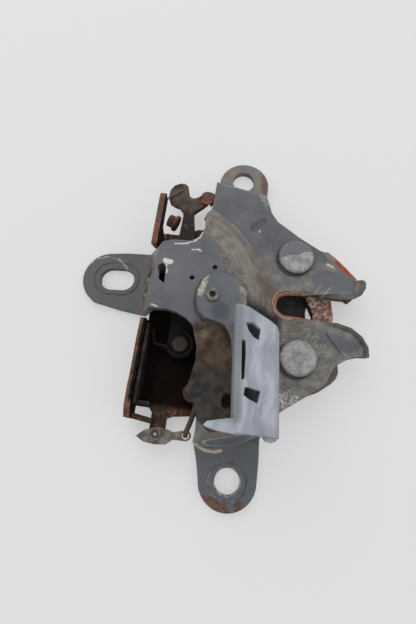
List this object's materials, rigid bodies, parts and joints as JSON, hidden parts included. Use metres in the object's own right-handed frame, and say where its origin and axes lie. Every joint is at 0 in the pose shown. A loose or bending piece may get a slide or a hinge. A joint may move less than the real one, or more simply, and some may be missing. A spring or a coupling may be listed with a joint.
{
  "type": "bonnet latch",
  "caption": "Used bonnet latch: folded grey front plate with bolt ears and a striker slot, rusty back plate, catch, pawl, release levers and a raised bracket.",
  "frame": {"origin": "where the bottom ear rests on the panel, on its back face just above its bolt hole", "axes": "+X along the slot towards its mouth, +Y across the slot towards the upper ear, +Z out of the front plate"},
  "size_m": [0.1106, 0.138, 0.0501],
  "materials": {
    "grey_paint": "worn dark grey paint with tan dirt",
    "bracket_paint": "satin grey-blue paint",
    "rusty_steel": "rusted",
    "greasy_steel": "rusty and greasy",
    "catch_steel": "rusty with grease",
    "lever_steel": "dark paint with rust",
    "worn_steel": "worn grey",
    "spring_steel": "dull, light rust"
  },
  "bodies": {
    "latch": {"front_plate": "grey_paint", "back_plate": "rusty_steel", "box_liner": "greasy_steel", "catch_rivet": "worn_steel", "pawl_rivet": "worn_steel", "catch_spring": "spring_steel", "pawl_spring": "spring_steel", "lever_stud": "worn_steel", "stud_spring": "spring_steel", "spring_post": "rusty_steel", "kick_spring": "spring_steel", "cable_pin": "worn_steel", "top_bracket": "bracket_paint", "bracket_rivet": "grey_paint"},
    "catch": {"catch_claw": "catch_steel"},
    "pawl": {"pawl": "greasy_steel"},
    "release_lever": {"release_lever": "lever_steel", "lever_hook": "rusty_steel", "stop_tube": "lever_steel", "tube_collar": "rusty_steel", "flag_wire": "spring_steel"},
    "cable_lever": {"cable_lever": "lever_steel"},
    "link": {"link_wire": "spring_steel"}
  },
  "joints": [
    {"name": "cable_lever_hinge", "type": "hinge", "parent": "latch", "child": "cable_lever", "pos_m": [-0.027, 0.0052, 0.0057], "axis": [0, 0, 1], "range_deg": [-18, 0], "stiffness_Nm_per_rad": 0.02, "springref_deg": 17.19},
    {"name": "link_slide", "type": "slide", "parent": "latch", "child": "link", "axis": [0, 1, 0], "range_m": [-0.0033, 0]},
    {"name": "pawl_hinge", "type": "hinge", "parent": "latch", "child": "pawl", "pos_m": [0.0191, 0.0371, 0.0066], "axis": [0, 0, 1], "range_deg": [0, 6]},
    {"name": "catch_hinge", "type": "hinge", "parent": "latch", "child": "catch", "pos_m": [0.0155, 0.0752, 0.0066], "axis": [0, 0, 1], "range_deg": [0, 42]},
    {"name": "release_lever_hinge", "type": "hinge", "parent": "latch", "child": "release_lever", "pos_m": [-0.0229, 0.0375, 0.00785], "axis": [0, 0, 1], "range_deg": [-8, 0], "stiffness_Nm_per_rad": 0.02, "springref_deg": 17.19}
  ],
  "couplings": [
    {"joint": "link_slide", "follows": "cable_lever_hinge", "m_per_rad": 0.0105},
    {"joint": "pawl_hinge", "follows": "cable_lever_hinge", "ratio": -0.33333},
    {"joint": "catch_hinge", "follows": "cable_lever_hinge", "ratio": -2.3333}
  ]
}
